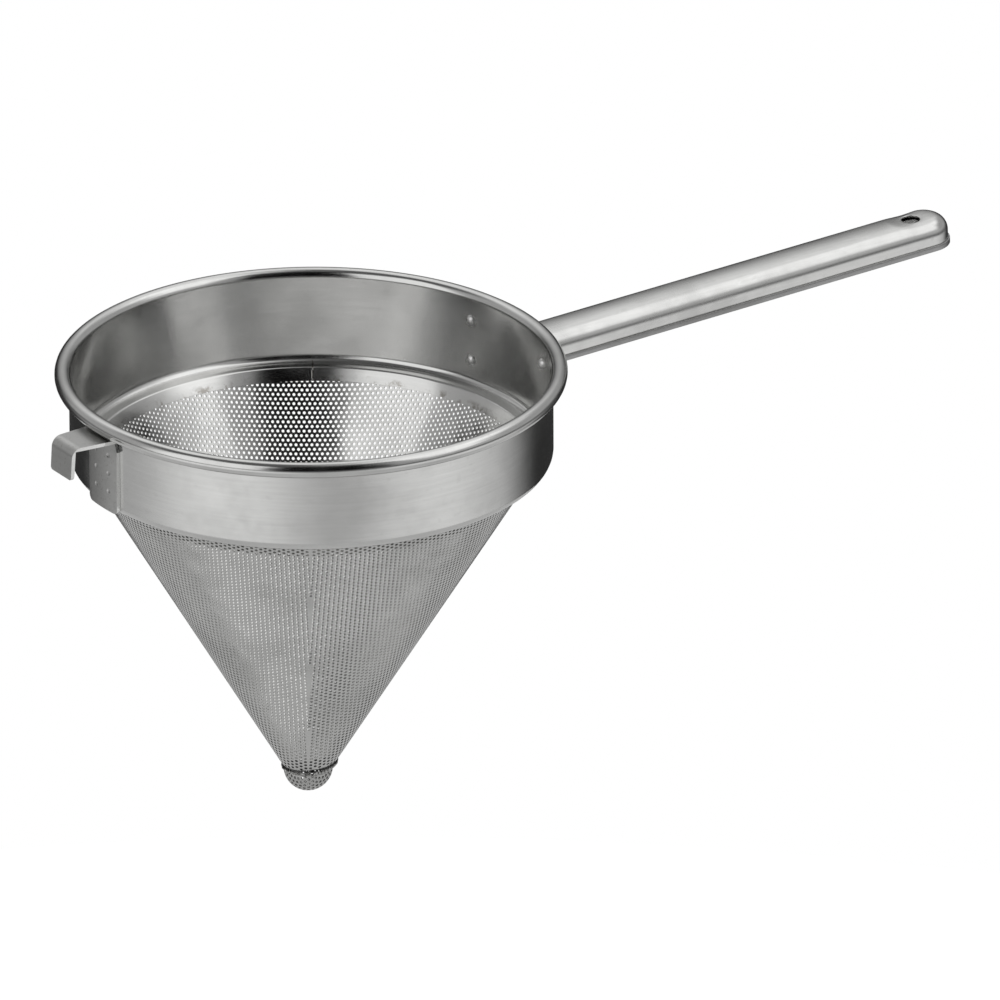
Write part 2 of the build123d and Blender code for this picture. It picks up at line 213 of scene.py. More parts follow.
def face_upwards(piece):
    """Merges a sheet's doubles and turns its faces so that its top looks up."""
    edit(piece)
    bpy.ops.mesh.remove_doubles(threshold=MERGE)
    bpy.ops.mesh.normals_make_consistent(inside=False)
    done()
    top = max(piece.data.polygons, key=lambda face: face.center.z)
    if top.normal.z < 0:
        edit(piece)
        bpy.ops.mesh.flip_normals()
        done()


def thicken(piece, walls=0, inside=0, even=False):
    """Gives a sheet its wall, below the side that its faces look to. The cut walls and the inside
    take the material that is so many places further on in the piece's list."""
    wall = piece.modifiers.new("wall", "SOLIDIFY")
    wall.thickness = SHEET
    wall.offset = -1
    wall.use_even_offset = even
    wall.material_offset_rim = walls
    wall.material_offset = inside
    apply_all(piece)


def finish_piece(piece, materials, slot, *nodes):
    """Gives a new piece its materials, hangs it on the root and hides the nodes that it stands for.
    Its slot is not used.
    """
    slots = [face.material_index for face in piece.data.polygons]
    piece.data.materials.clear()
    for material in materials:
        piece.data.materials.append(material)
    piece.data.polygons.foreach_set("material_index", slots)
    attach(piece, "root")
    if nodes:
        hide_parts(*nodes)


def remake(node, name, rounding):
    """A merged copy of a node as a new piece, with its edges broken if a width is given."""
    piece = bpy.data.objects.new(name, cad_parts[node].data.copy())
    bpy.context.scene.collection.objects.link(piece)
    only(piece)
    bpy.ops.mesh.customdata_custom_splitnormals_clear()
    edit(piece)
    bpy.ops.mesh.remove_doubles(threshold=MERGE)
    bpy.ops.mesh.dissolve_limited(angle_limit=FLAT_ANGLE)
    bpy.ops.mesh.mark_sharp(clear=True)
    done()
    if rounding:
        broken = piece.modifiers.new("broken edges", "BEVEL")
        broken.width = rounding
        broken.segments = EDGE_STEPS
        broken.limit_method = "ANGLE"
        broken.angle_limit = EDGE_ANGLE
        broken.use_clamp_overlap = True
        apply_all(piece)
    smooth(piece, degrees=35)
    return piece


# Rim band


def cone_radius(z, depth=0.0):
    """Radius of the cone at height z, on a surface that lies a depth inside its outer face."""
    return (z - apex_z) * math.tan(CONE_HALF_ANGLE) - depth / math.cos(CONE_HALF_ANGLE)


def make_band(materials):
    """The rolled rim band: the curl's outside and the wall's inside are one line, spun round."""
    centre = BAND_INNER_RADIUS + BEAD_RADIUS
    curl = [
        (centre + BEAD_RADIUS * math.cos(turn), 0, BEAD_RADIUS * math.sin(turn))
        for turn in np.linspace(CURL_END, math.pi, CURL_STEPS + 1)
    ]
    ledge_z = -BAND_DEPTH + SHEET
    corner = Vector((BAND_INNER_RADIUS, 0, ledge_z))
    lip_top = Vector((cone_radius(ledge_z, LIP_DEPTH), 0, ledge_z))
    lip_end = (cone_radius(band_low.z, LIP_DEPTH), 0, band_low.z)
    band = draw_line("rolled_rim_band", [*curl, corner, lip_top, lip_end])
    bends = (
        (corner, CORNER_BEND, math.pi / 2),
        (lip_top, LIP_BEND, math.pi / 2 - CONE_HALF_ANGLE),
    )
    for place, bend, turn in bends:
        set_back = bend * math.tan(turn / 2)
        edit(band, lambda point: (point - place).length < MERGE)
        bpy.ops.mesh.bevel(affect="VERTICES", offset=set_back, segments=BEND_STEPS, profile=0.5)
        done()
    edit(band)
    bpy.ops.mesh.spin(steps=RING_STEPS, angle=TAU, center=(0, 0, 0), axis=(0, 0, 1))
    done()
    face_upwards(band)
    thicken(band, even=True)
    smooth(band, degrees=40)
    finish_piece(band, materials, "band_steel", "rim_band")


# Perforated sheet


def make_cell(hole_radius):
    """One hexagonal cell of sheet round its hole, as (points, faces), in the plane."""
    bpy.ops.object.select_all(action="DESELECT")
    bpy.ops.mesh.primitive_circle_add(vertices=CELL_SIDES, radius=HOLE_PITCH / math.sqrt(3))
    cell = bpy.context.object
    bpy.ops.object.mode_set(mode="EDIT")
    bpy.ops.mesh.primitive_circle_add(vertices=HOLE_SIDES, radius=hole_radius)
    bpy.ops.mesh.select_all(action="SELECT")
    bpy.ops.mesh.bridge_edge_loops()
    bpy.ops.mesh.normals_make_consistent(inside=False)
    bpy.ops.object.mode_set(mode="OBJECT")
    points = np.array([v.co[:2] for v in cell.data.vertices])
    faces = [list(p.vertices) for p in cell.data.polygons]
    if cell.data.polygons[0].normal.z < 0:
        faces = [face[::-1] for face in faces]
    bpy.data.objects.remove(cell)
    return points, faces


def make_blank():
    """One hexagonal cell of sheet with no hole."""
    turns = np.arange(CELL_SIDES) * TAU / CELL_SIDES + TAU / 4
    points = np.stack([np.cos(turns), np.sin(turns)], 1) * HOLE_PITCH / math.sqrt(3)
    return points, [list(range(CELL_SIDES))]


def lattice(reach):
    """Centres of the staggered cells within a distance of the origin, rows along X."""
    rows = int(reach / HOLE_ROW) + 2
    columns = int(reach / HOLE_PITCH) + 2
    centres = [
        ((column + (row % 2) / 2) * HOLE_PITCH, row * HOLE_ROW)
        for row in range(-rows, rows + 1)
        for column in range(-columns, columns + 1)
    ]
    return np.array(centres)


def lay_cells(cell, centres):
    """Copies a cell to each centre: (points, faces) in the plane."""
    points, faces = cell
    laid = (centres[:, None, :] + points[None, :, :]).reshape(-1, 2)
    step = len(points)
    copied = [[i + k * step for i in face] for k in range(len(centres)) for face in faces]
    return laid, copied


def rolled_sheet(name, punched, blank, clamp, roll, hole_radius, inside=0):
    """A piece of perforated sheet: cells laid in the plane, trimmed, rolled and thickened. Its
    holes' walls take the next material, and its inside takes the one given."""
    holes, hole_faces = lay_cells(make_cell(hole_radius), punched)
    plain, plain_faces = lay_cells(make_blank(), blank)
    points = clamp(np.concatenate([holes, plain]))
    faces = hole_faces + [[i + len(holes) for i in face] for face in plain_faces]
    mesh = bpy.data.meshes.new(name)
    mesh.from_pydata(roll(points).tolist(), [], faces)
    piece = bpy.data.objects.new(name, mesh)
    bpy.context.scene.collection.objects.link(piece)
    edit(piece)
    bpy.ops.mesh.remove_doubles(threshold=CELL_MERGE)
    bpy.ops.mesh.dissolve_degenerate(threshold=CELL_MERGE)
    done()
    thicken(piece, walls=1, inside=inside)
    smooth(piece)
    return piece


def lean(heights):
    """How far the cone and its cap have moved sideways at each height."""
    drop = cone_high.z - heights
    return -CONE_LEAN * drop[:, None] * np.array(ACROSS)[None, :]


def make_cone(materials):
    """The strainer cone: a little over half a disc of sheet, rolled with its seam in front."""
    top = cone_top_radius / math.sin(CONE_HALF_ANGLE)
    end = cone_end_radius / math.sin(CONE_HALF_ANGLE)
    half_turn = math.pi * math.sin(CONE_HALF_ANGLE)

    def polar(points):
        """Distance of each point of the flat sheet from its apex, and its turn."""
        return np.hypot(points[:, 0], points[:, 1]), np.arctan2(points[:, 0], points[:, 1])

    def cut(turn):
        """Distance from the apex to the slanted lower cut, at a turn."""
        around = REAR + turn / math.sin(CONE_HALF_ANGLE)
        return end + CONE_END_SLANT * np.cos(around - CAMERA_AZIMUTH)

    def clamp(points):
        """Trims the sheet at its seam, lower cut and top, as distances and turns."""
        reach, turn = polar(points)
        turn = np.clip(turn, -half_turn, half_turn)
        reach = np.clip(reach, cut(turn), top)
        return np.stack([reach, turn], 1)

    def roll(sheet):
        """Rolls the trimmed sheet to the cone, leaning as the real one does."""
        reach, turn = sheet[:, 0], sheet[:, 1]
        around = REAR + turn / math.sin(CONE_HALF_ANGLE)
        radius = reach * math.sin(CONE_HALF_ANGLE)
        height = apex_z + reach * math.cos(CONE_HALF_ANGLE)
        rolled = np.stack([radius * np.cos(around), radius * np.sin(around), height], 1)
        return rolled + lean(height)

    centres = lattice(top + HOLE_PITCH)
    reach, turn = polar(centres)
    cell_reach = HOLE_PITCH / math.sqrt(3)
    seam_distance = reach * np.sin(np.minimum(half_turn - np.abs(turn), math.pi / 2))
    low_cut = cut(turn)
    on_sheet = (reach < top + cell_reach) & (reach > low_cut - cell_reach)
    on_sheet &= seam_distance > -cell_reach
    punched = (reach < top - CONE_MARGIN) & (reach > low_cut + CONE_END_MARGIN)
    punched &= seam_distance > SEAM_MARGIN
    sector = np.floor((turn + half_turn) / (2 * half_turn) * CONE_SECTORS)
    sector = np.clip(sector, 0, CONE_SECTORS - 1)
    for k in range(CONE_SECTORS):
        mine = on_sheet & (sector == k)
        piece = rolled_sheet(
            f"cone_sheet_{k + 1}",
            centres[mine & punched],
            centres[mine & ~punched],
            clamp,
            roll,
            HOLE_RADIUS,
        )
        finish_piece(piece, materials, "cone_steel", "strainer_cone")


def make_cap(materials):
    """The tip cap, pressed from a flat disc of the same sheet: distances from its middle stay."""
    centre_z = cap_low.z + CAP_LIFT + CAP_RADIUS
    quarter = CAP_RADIUS * math.pi / 2
    corners = [
        Vector((CAP_RADIUS, centre_z)),
        Vector((cone_end_radius - CAP_SHOULDER_INSET, cone_end_z - CAP_SHOULDER_DROP)),
        Vector((cone_end_radius - CAP_NECK_INSET, cone_end_z)),
        Vector((cap_high.x, cap_high.z)),
    ]
    sides = [(above - below) for below, above in zip(corners, corners[1:])]
    rim = quarter + sum(side.length for side in sides)

    def clamp(points):
        """Trims the disc at its rim."""
        reach = np.hypot(points[:, 0], points[:, 1])
        return points * (np.minimum(reach, rim) / np.maximum(reach, TINY))[:, None]

    def roll(points):
        """Presses the disc along the cap's section, slanted and leaning with the cone."""
        reach = np.hypot(points[:, 0], points[:, 1])
        around = np.arctan2(points[:, 1], points[:, 0])
        bend = np.minimum(reach, quarter) / CAP_RADIUS
        radius = CAP_RADIUS * np.sin(bend)
        height = centre_z - CAP_RADIUS * np.cos(bend)
        start = quarter
        for side in sides:
            share = np.clip(reach - start, 0, side.length) / side.length
            radius += side.x * share
            height += side.y * share
            start += side.length
        slanted = np.clip(reach - quarter, 0, sides[0].length) / sides[0].length
        slanted = slanted * CONE_END_SLANT * np.cos(around - CAMERA_AZIMUTH)
        radius += slanted * math.sin(CONE_HALF_ANGLE)
        height += slanted * math.cos(CONE_HALF_ANGLE)
        rolled = np.stack([radius * np.cos(around), radius * np.sin(around), height], 1)
        return rolled + lean(height)

    centres = lattice(rim + HOLE_PITCH)
    reach = np.hypot(centres[:, 0], centres[:, 1])
    on_sheet = reach < rim + HOLE_PITCH / 2
    punched = reach < rim - HOLE_PITCH
    piece = rolled_sheet(
        "tip_cap_sheet",
        centres[on_sheet & punched],
        centres[on_sheet & ~punched],
        clamp,
        roll,
        CAP_HOLE_RADIUS,
        # The inside takes the second material, the near-black steel of painted shade.
        inside=1,
    )
    edit(piece)
    bpy.ops.mesh.normals_make_consistent(inside=False)
    done()
    finish_piece(piece, materials, "cap_steel", "tip_cap")


# Handle


def on_handle(x, y, z):
    """A point of the handle, by its place along, across and above its own tilted base plane."""
    return Vector((
        x * math.cos(HANDLE_TILT) - z * math.sin(HANDLE_TILT),
        y,
        HANDLE_AXIS_Z + x * math.sin(HANDLE_TILT) + z * math.cos(HANDLE_TILT),
    ))


def shell_profile():
    """Half the upper shell's section, from the crown to the side's lower edge, as (y, z)."""
    inward = SHELL_HALF_WIDTH - SHELL_SHOULDER_RADIUS
    turn = math.acos(inward / (SHELL_CROWN_RADIUS - SHELL_SHOULDER_RADIUS))
    fall = (SHELL_CROWN_RADIUS - SHELL_SHOULDER_RADIUS) * (1 - math.sin(turn))
    crown_base = SHELL_HEIGHT - SHELL_CROWN_RADIUS
    centre_z = SHELL_HEIGHT - SHELL_SHOULDER_RADIUS - fall
    crown = [
        (SHELL_CROWN_RADIUS * math.cos(a), crown_base + SHELL_CROWN_RADIUS * math.sin(a))
        for a in np.linspace(math.pi / 2, turn, CROWN_POINTS)
    ]
    shoulder = [
        (
            inward + SHELL_SHOULDER_RADIUS * math.cos(a),
            centre_z + SHELL_SHOULDER_RADIUS * math.sin(a),
        )
        for a in np.linspace(turn, 0, SHOULDER_POINTS)
    ]
    side = [(SHELL_HALF_WIDTH, z) for z in np.linspace(centre_z, SHEET, SIDE_POINTS)]
    return crown + shoulder[1:] + side[1:]


def from_hole(point):
    """Distance of a point from the hang hole's axis."""
    middle = on_handle(HOLE_X, 0, SHELL_HEIGHT)
    axis = (on_handle(HOLE_X, 0, 1) - on_handle(HOLE_X, 0, 0)).normalized()
    way = point - middle
    return (way - way.dot(axis) * axis).length


def make_shell(materials):
    """The upper shell: its section extruded, spun round the end, dished and holed at the crown."""
    half = shell_profile()
    section = [(-y, z) for y, z in reversed(half)] + half[1:]
    shell = draw_line("handle_shell", [on_handle(HANDLE_ROOT, y, z) for y, z in section])
    along = on_handle(1, 0, 0) - on_handle(0, 0, 0)
    up = on_handle(0, 0, 1) - on_handle(0, 0, 0)
    crown_foot = on_handle(0, 0, SHELL_HEIGHT * CROWN_SHARE)

    def on_crown(point):
        """Whether a point is on the upper part of the shell."""
        return (point - crown_foot).dot(up) > 0

    steps = [(DISH_START - HANDLE_ROOT) / SHELL_STEPS] * SHELL_STEPS
    dish_steps = round((HANDLE_END - DISH_START) / DISH_CELL)
    steps += [(HANDLE_END - DISH_START) / dish_steps] * dish_steps
    edit(shell)
    for step in steps:
        extrude_by(along * step)
    done()
    end = on_handle(HANDLE_END, 0, 0)
    edit(shell, lambda point: (point - end).dot(along) > -MERGE and point.y > -MERGE)
    bpy.ops.mesh.spin(steps=END_STEPS, angle=math.pi, center=end, axis=up)
    done()
    face_upwards(shell)
    edit(shell, lambda point: on_crown(point) and from_hole(point) < HANG_HOLE_RADIUS)
    bpy.ops.transform.translate(
        value=up * -DISH_DEPTH,
        use_proportional_edit=True,
        proportional_edit_falloff="SMOOTH",
        proportional_size=DISH_REACH,
    )
    done()

    # The hole: the cut's edge is drawn to a circle, partly levelled, then rolled in and down
    edge_radius = HANG_HOLE_RADIUS + HANG_HOLE_ROLL
    edit(shell, lambda point: on_crown(point) and from_hole(point) < edge_radius)
    bpy.ops.mesh.delete(type="VERT")
    done()
    edit(shell)
    bpy.ops.mesh.select_mode(type="EDGE")
    bpy.ops.mesh.select_non_manifold(extend=False)
    done()
    middle = on_handle(HOLE_X, 0, 0)
    search = edge_radius + RIM_SEARCH
    rim = [
        vertex
        for vertex in shell.data.vertices
        if vertex.select and on_crown(vertex.co) and from_hole(vertex.co) < search
    ]
    for vertex in rim:
        way = vertex.co - middle
        height = way.dot(up)
        level = way - height * up
        vertex.co = middle + level.normalized() * edge_radius + up * height
    mean = sum((vertex.co - middle).dot(up) for vertex in rim) / len(rim)
    for vertex in rim:
        vertex.co += up * (mean - (vertex.co - middle).dot(up)) * RIM_LEVELLED
    edit(shell, lambda point: on_crown(point) and abs(from_hole(point) - edge_radius) < MERGE)
    bpy.ops.mesh.select_mode(type="EDGE")
    radius = edge_radius
    roll_step = math.pi / 2 / ROLL_STEPS
    for turn in np.linspace(0, math.pi / 2, ROLL_STEPS + 1)[1:]:
        rolled = HANG_HOLE_RADIUS + HANG_HOLE_ROLL * (1 - math.sin(turn))
        fall = math.cos(turn - roll_step) - math.cos(turn)
        extrude_by(up * -(HANG_HOLE_ROLL * fall / ROLL_FLATNESS))
        factor = rolled / radius
        bpy.ops.transform.resize(value=(factor, factor, 1), center_override=middle + up * mean)
        radius = rolled
    extrude_by(up * -HANG_HOLE_COLLAR)
    done()
    thicken(shell)
    smooth(shell, degrees=50)
    finish_piece(shell, materials, "handle_steel", "handle_upper_shell")


def make_tray(materials):
    """The lower shell, whose collar is lowered to stand under the pressed dish."""
    tray = remake("handle_lower_shell", "handle_tray", 0.25 * MM)
    up = on_handle(0, 0, 1) - on_handle(0, 0, 0)
    base = on_handle(0, 0, SHELL_HEIGHT / 2)
    collar_reach = HANG_HOLE_RADIUS + 2 * SHEET
    edit(tray, lambda point: (point - base).dot(up) > 0 and from_hole(point) < collar_reach)
    drop = DISH_DEPTH + HANG_HOLE_COLLAR + 2 * HANG_HOLE_ROLL
    bpy.ops.transform.translate(value=up * -drop)
    done()
    # The collar's faces take the pale steel, a painted highlight.
    for face in tray.data.polygons:
        face.material_index = int(from_hole(face.center) < HANG_HOLE_RADIUS + SHEET / 2)
    finish_piece(tray, materials, "tray_steel", "handle_lower_shell")


# Finishes

# Sockets of a Mix node, by their place in its lists: for colours, then for numbers
COLOUR_UNDER = 6
COLOUR_OVER = 7
COLOUR_RESULT = 2
NUMBER_UNDER = 2
NUMBER_OVER = 3

# Shares and fineness within the patterns that every steel has
COARSE_GRAIN = 0.2
FINE_GRAIN_SHARE = 0.7
COARSE_GRAIN_SHARE = 0.3
SCRATCH_PATCHES = 0.6
SCRATCH_TO_GRAIN = 0.06
SPOT_FINENESS = 9.0
SMUDGE_TONE = 0.5


def node_group(name, inputs, outputs):
    """An empty shader node group with named sockets: its tree, group input and group output."""
    tree = bpy.data.node_groups.new(name, "ShaderNodeTree")
    for label, value in inputs.items():
        kind = "NodeSocketFloat" if isinstance(value, float) else value
        socket = tree.interface.new_socket(label, in_out="INPUT", socket_type=kind)
        if isinstance(value, float):
            socket.default_value = value
    for label in outputs:
        tree.interface.new_socket(label, in_out="OUTPUT", socket_type="NodeSocketFloat")
    group_input = tree.nodes.new("NodeGroupInput")
    group_output = tree.nodes.new("NodeGroupOutput")
    return tree, group_input.outputs, group_output.inputs


def calc(tree, operation, *values):
    """A Math node on sockets and numbers; gives its output."""
    node = tree.nodes.new("ShaderNodeMath")
    node.operation = operation
    for socket, value in zip(node.inputs, values):
        if isinstance(value, (int, float)):
            socket.default_value = value
        else:
            tree.links.new(value, socket)
    return node.outputs[0]


def noise(tree, place, scale, detail=3.0, roughness=0.5):
    """A Noise texture's value at a place."""
    node = tree.nodes.new("ShaderNodeTexNoise")
    node.inputs["Detail"].default_value = detail
    node.inputs["Roughness"].default_value = roughness
    tree.links.new(place, node.inputs["Vector"])
    if isinstance(scale, (int, float)):
        node.inputs["Scale"].default_value = scale
    else:
        tree.links.new(scale, node.inputs["Scale"])
    return node.outputs["Fac"]


def ramp(tree, value, low, high):
    """0 below one value and 1 above another, smooth between them."""
    node = tree.nodes.new("ShaderNodeMapRange")
    node.interpolation_type = "SMOOTHSTEP"
    for label, bound in (("From Min", low), ("From Max", high)):
        if isinstance(bound, (int, float)):
            node.inputs[label].default_value = bound
        else:
            tree.links.new(bound, node.inputs[label])
    tree.links.new(value, node.inputs["Value"])
    return node.outputs["Result"]


def fade(tree, value, low, high):
    """1 below one value and 0 above another, smooth between them."""
    return calc(tree, "SUBTRACT", 1.0, ramp(tree, value, low, high))


def make_grain_group():
    """Drawn grain: fine streaks where the place runs fast, broken up along their length."""
    inputs = {"Place": "NodeSocketVector", "Fineness": 900.0}
    tree, given, out = node_group("drawn_grain", inputs, ["Grain", "Wave"])
    fine = noise(tree, given["Place"], given["Fineness"], detail=4, roughness=0.6)
    coarseness = calc(tree, "MULTIPLY", given["Fineness"], COARSE_GRAIN)
    coarse = noise(tree, given["Place"], coarseness, detail=2)
    fine_part = calc(tree, "MULTIPLY", fine, FINE_GRAIN_SHARE)
    coarse_part = calc(tree, "MULTIPLY", coarse, COARSE_GRAIN_SHARE)
    tree.links.new(calc(tree, "ADD", fine_part, coarse_part), out["Grain"])
    tree.links.new(coarse, out["Wave"])
    return tree


def make_scratch_group():
    """Sparse scratches: thin rings of a stretched noise, kept only in patches."""
    inputs = {"Place": "NodeSocketVector", "Spread": 60.0, "Width": 0.012}
    tree, given, out = node_group("fine_scratches", inputs, ["Scratch"])
    field = noise(tree, given["Place"], given["Spread"], detail=1)
    line = calc(tree, "ABSOLUTE", calc(tree, "SUBTRACT", field, 0.5))
    thin = fade(tree, line, 0.0, given["Width"])
    patch_spread = calc(tree, "MULTIPLY", given["Spread"], SCRATCH_PATCHES)
    patch_noise = noise(tree, given["Place"], patch_spread, detail=2)
    patches = ramp(tree, patch_noise, low=0.52, high=0.62)
    tree.links.new(calc(tree, "MULTIPLY", thin, patches), out["Scratch"])
    return tree


def make_smudge_group():
    """Handling smudges and water marks: soft clouds with a few harder spots."""
    inputs = {"Place": "NodeSocketVector", "Size": 40.0, "Spots": 0.3}
    tree, given, out = node_group("smudges", inputs, ["Smudge"])
    cloud_noise = noise(tree, given["Place"], given["Size"], detail=4, roughness=0.6)
    clouds = ramp(tree, cloud_noise, low=0.42, high=0.72)
    spot_size = calc(tree, "MULTIPLY", given["Size"], SPOT_FINENESS)
    spots = ramp(tree, noise(tree, given["Place"], spot_size, detail=2), low=0.62, high=0.7)
    both = calc(tree, "MAXIMUM", clouds, calc(tree, "MULTIPLY", spots, given["Spots"]))
    tree.links.new(both, out["Smudge"])
    return tree


def make_ring_group():
    """Place on a part turned about the ring's axis: height, and distance round from an azimuth."""
    inputs = {"Place": "NodeSocketVector", "Azimuth": 0.0}
    tree, given, out = node_group("ring_place", inputs, ["Height", "Off"])
    split = tree.nodes.new("ShaderNodeSeparateXYZ")
    tree.links.new(given["Place"], split.inputs[0])
    x, y = split.outputs["X"], split.outputs["Y"]
    turn = calc(tree, "SUBTRACT", calc(tree, "ARCTAN2", y, x), given["Azimuth"])
    turn = calc(tree, "WRAP", turn, math.pi, -math.pi)
    squares = calc(tree, "ADD", calc(tree, "POWER", x, 2), calc(tree, "POWER", y, 2))
    reach = calc(tree, "SQRT", squares)
    tree.links.new(calc(tree, "MULTIPLY", turn, reach), out["Off"])
    tree.links.new(split.outputs["Z"], out["Height"])
    return tree


GRAIN = make_grain_group()
SCRATCHES = make_scratch_group()
SMUDGES = make_smudge_group()
RING = make_ring_group()


class Finish:
    """A steel's material while it is put together."""

    def __init__(self, name, colour, roughness, stretch, turn=(0, 0, 0)):
        self.material = bpy.data.materials.new(name)
        self.material.use_nodes = True
        self.tree = self.material.node_tree
        self.shader = self.tree.nodes["Principled BSDF"]
        self.shader.inputs["Metallic"].default_value = 1.0
        coordinates = self.tree.nodes.new("ShaderNodeTexCoord")
        self.place = coordinates.outputs["Object"]
        drawn = self.tree.nodes.new("ShaderNodeMapping")
        drawn.inputs["Rotation"].default_value = turn
        drawn.inputs["Scale"].default_value = stretch
        self.tree.links.new(self.place, drawn.inputs["Vector"])
        self.drawn = drawn.outputs["Vector"]
        self.colour = colour
        self.roughness = roughness
        self.tones = []
        self.rough = []
        self.heights = []

    def use(self, group, place, **values):
        """Places a node group; gives its outputs."""
        node = self.tree.nodes.new("ShaderNodeGroup")
        node.node_tree = group
        self.tree.links.new(place, node.inputs["Place"])
        for label, value in values.items():
            node.inputs[label].default_value = value
        return node.outputs

    def tone(self, mask, colour, amount=1.0):
        """Lays a colour over the steel where a mask says."""
        self.tones.append((calc(self.tree, "MULTIPLY", mask, amount), colour))

    def dull(self, mask, amount):
        """Adds to the roughness where a mask says."""
        self.rough.append(calc(self.tree, "MULTIPLY", mask, amount))

    def raise_by(self, mask, height):
        """Adds a height in metres where a mask says."""
        self.heights.append(calc(self.tree, "MULTIPLY", mask, height))

    def total(self, values):
        """Adds up several sockets."""
        result = values[0]
        for value in values[1:]:
            result = calc(self.tree, "ADD", result, value)
        return result

    def finished(self):
        """Wires the tones, roughness and heights to the shader; gives the material."""
        colour = None
        for mask, over in self.tones:
            blend = self.tree.nodes.new("ShaderNodeMix")
            blend.data_type = "RGBA"
            self.tree.links.new(mask, blend.inputs["Factor"])
            if colour is None:
                blend.inputs[COLOUR_UNDER].default_value = (*self.colour, 1)
            else:
                self.tree.links.new(colour, blend.inputs[COLOUR_UNDER])
            blend.inputs[COLOUR_OVER].default_value = (*over, 1)
            colour = blend.outputs[COLOUR_RESULT]
        self.tree.links.new(colour, self.shader.inputs["Base Color"])
        roughness = calc(self.tree, "ADD", self.total(self.rough), self.roughness)
        self.tree.links.new(roughness, self.shader.inputs["Roughness"])
        bump = self.tree.nodes.new("ShaderNodeBump")
        bump.inputs["Strength"].default_value = 1.0
        bump.inputs["Distance"].default_value = 1.0
        self.tree.links.new(self.total(self.heights), bump.inputs["Height"])
        self.tree.links.new(bump.outputs["Normal"], self.shader.inputs["Normal"])
        return self.material


DARK = (0.33, 0.33, 0.32)
STAIN = (0.22, 0.2, 0.17)
# Near black of the painted shade in the gap under the cone's cut edge.
GAP_SHADE = (0.03, 0.03, 0.03)
PALE = (0.78, 0.78, 0.77)
STRAW = (0.4, 0.34, 0.26)


def drawn_steel(
    name,
    colour,
    roughness,
    stretch,
    fineness,
    grain_height,
    smudge=0.35,
    scratch=0.25,
    turn=(0, 0, 0),
):
    """A drawn, rolled or brushed steel: grain, smudges and scratches, for more to be laid on."""
    finish = Finish(name, colour, roughness, stretch, turn)
    grain = finish.use(GRAIN, finish.drawn, Fineness=fineness)
    smudges = finish.use(SMUDGES, finish.place, Size=28.0, Spots=0.4)
    scratch_spread = fineness * SCRATCH_TO_GRAIN
    scratches = finish.use(SCRATCHES, finish.drawn, Spread=scratch_spread, Width=0.01)
    finish.tone(grain["Wave"], DARK, amount=0.22)
    finish.tone(smudges["Smudge"], DARK, amount=smudge * SMUDGE_TONE)
    finish.tone(scratches["Scratch"], PALE, amount=scratch)
    finish.dull(grain["Grain"], amount=0.12)
    finish.dull(smudges["Smudge"], amount=0.1)
    finish.raise_by(grain["Grain"], grain_height)
    finish.raise_by(scratches["Scratch"], -grain_height)
    return finish


def make_band_steel():
    """The band: grain round it, a little wavy, with stains and a welded seam on its lip."""
    finish = drawn_steel(
        "rolled_band_steel",
        colour=(0.68, 0.68, 0.67),
        roughness=0.1,
        stretch=(1, 1, 24),
        fineness=160.0,
        grain_height=0.0012 * MM,
    )
    tree = finish.tree
    ring = finish.use(RING, finish.place, Azimuth=REAR)
    finish.raise_by(noise(tree, finish.place, scale=34.0, detail=1), 0.35 * MM)
    low = fade(tree, ring["Height"], -46 * MM, -43.5 * MM)
    stain_noise = noise(tree, finish.place, scale=150.0, detail=4, roughness=0.7)
    stains = ramp(tree, stain_noise, low=0.5, high=0.66)
    finish.tone(calc(tree, "MULTIPLY", low, stains), STAIN, amount=0.7)
    near = fade(tree, calc(tree, "ABSOLUTE", ring["Off"]), 0.25 * MM, 0.6 * MM)
    dashes = ramp(tree, noise(tree, finish.place, scale=700.0, detail=1), low=0.42, high=0.5)
    lip = fade(tree, ring["Height"], -41 * MM, -40 * MM)
    seam = calc(tree, "MULTIPLY", calc(tree, "MULTIPLY", near, dashes), lip)
    finish.tone(seam, STAIN, amount=0.85)
    finish.raise_by(seam, 0.05 * MM)
    return finish.finished()


def make_cone_steel():
    """Perforated mill sheet: grain down the slope, small dents and grey smudges."""
    finish = drawn_steel(
        "perforated_sheet_steel",
        colour=(0.62, 0.62, 0.61),
        roughness=0.12,
        stretch=(6, 6, 1),
        fineness=240.0,
        grain_height=0.001 * MM,
        smudge=0.5,
        scratch=0.3,
    )
    finish.raise_by(noise(finish.tree, finish.place, scale=60.0, detail=1), 0.4 * MM)
    return finish.finished()


def make_hole_shade_steel():
    """The walls of the punched holes and the cap's inside: torn and dull, and painted near black as
    the shade in the holes and inside the cap, so that the holes look black.
    """
    finish = drawn_steel(
        "painted_hole_shade_steel",
        colour=(0.06, 0.06, 0.06),
        roughness=0.4,
        stretch=(1, 1, 1),
        fineness=1500.0,
        grain_height=0.002 * MM,
    )
    return finish.finished()


def make_cap_steel():
    """The tip cap: the cone's sheet, greyer, with a dark line painted under the cone's slanted cut
    edge as painted shade of the gap there.
    """
    finish = drawn_steel(
        "pressed_cap_steel",
        colour=(0.55, 0.55, 0.54),
        roughness=0.24,
        stretch=(1, 1, 3),
        fineness=300.0,
        grain_height=0.0015 * MM,
        smudge=0.6,
    )
    across = finish.tree.nodes.new("ShaderNodeVectorMath")
    across.operation = "DOT_PRODUCT"
    finish.tree.links.new(finish.place, across.inputs[0])
    cut_slope = CONE_END_SLANT * math.cos(CONE_HALF_ANGLE) / cone_end_radius
    across.inputs[1].default_value = (-cut_slope * ACROSS.x, -cut_slope * ACROSS.y, 1)
    crevice = cone_end_z - CAP_SHOULDER_DROP
    height = across.outputs["Value"]
    # Near black just under the cone's cut edge: painted shade of the gap between cone and cap.
    painted_gap_shade = ramp(finish.tree, height, crevice + 0.3 * MM, crevice + 0.9 * MM)
    finish.tone(painted_gap_shade, GAP_SHADE, amount=0.92)
    return finish.finished()


